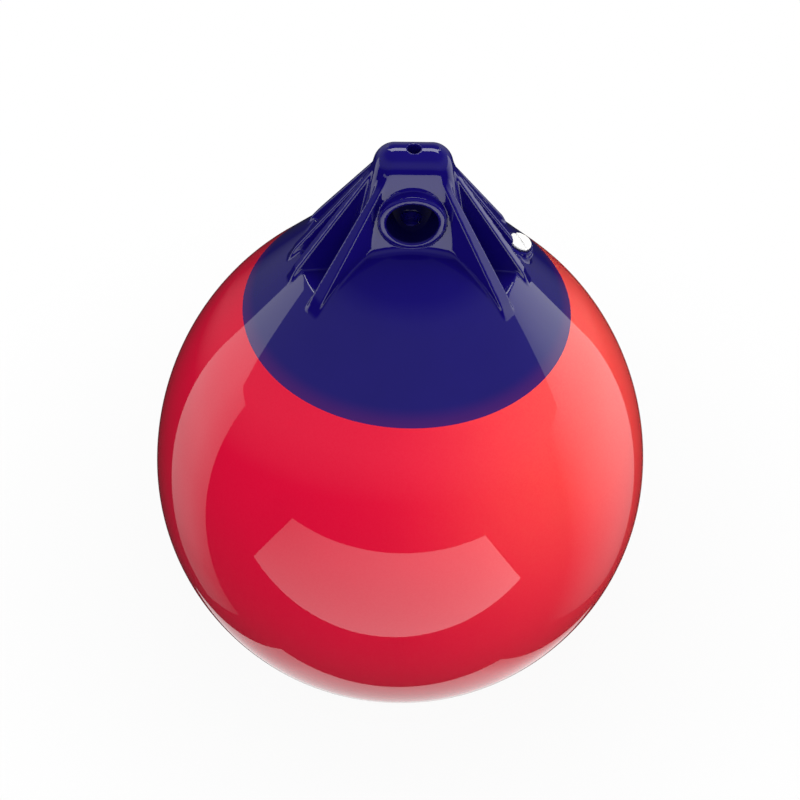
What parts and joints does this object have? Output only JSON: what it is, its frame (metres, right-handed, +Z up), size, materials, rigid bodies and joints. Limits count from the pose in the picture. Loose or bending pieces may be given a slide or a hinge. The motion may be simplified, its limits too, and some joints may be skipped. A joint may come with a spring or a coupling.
{
  "type": "inflatable mooring buoy",
  "caption": "Teardrop inflatable vinyl mooring buoy with an eight-ribbed moulded cap, a rope eye through its lug and a slotted screw valve on the shoulder.",
  "frame": {"origin": "on the buoy's axis, level with the waterline when it floats empty on its belly", "axes": "+Z up along the buoy's axis towards the crest of the lug, +Y along the rope eye away from the front, +X to the side that carries the valve"},
  "size_m": [0.2794, 0.2794, 0.381],
  "materials": {
    "body_vinyl": "glossy soft vinyl, red",
    "cap_vinyl": "glossy soft vinyl, dark indigo",
    "seat_plastic": "satin moulded plastic, near black",
    "screw_plastic": "satin moulded nylon, white"
  },
  "bodies": {
    "float": {"body_shell": "body_vinyl", "rope_eye_cap": "cap_vinyl", "valve_seat": "seat_plastic"},
    "screw": {"valve_screw": "screw_plastic"}
  },
  "joints": [
    {"name": "valve_screw_turn", "type": "hinge", "parent": "float", "child": "screw", "pos_m": [0.0604, 0.0125, 0.245], "axis": [0.342, 0, 0.9397], "continuous": true}
  ]
}
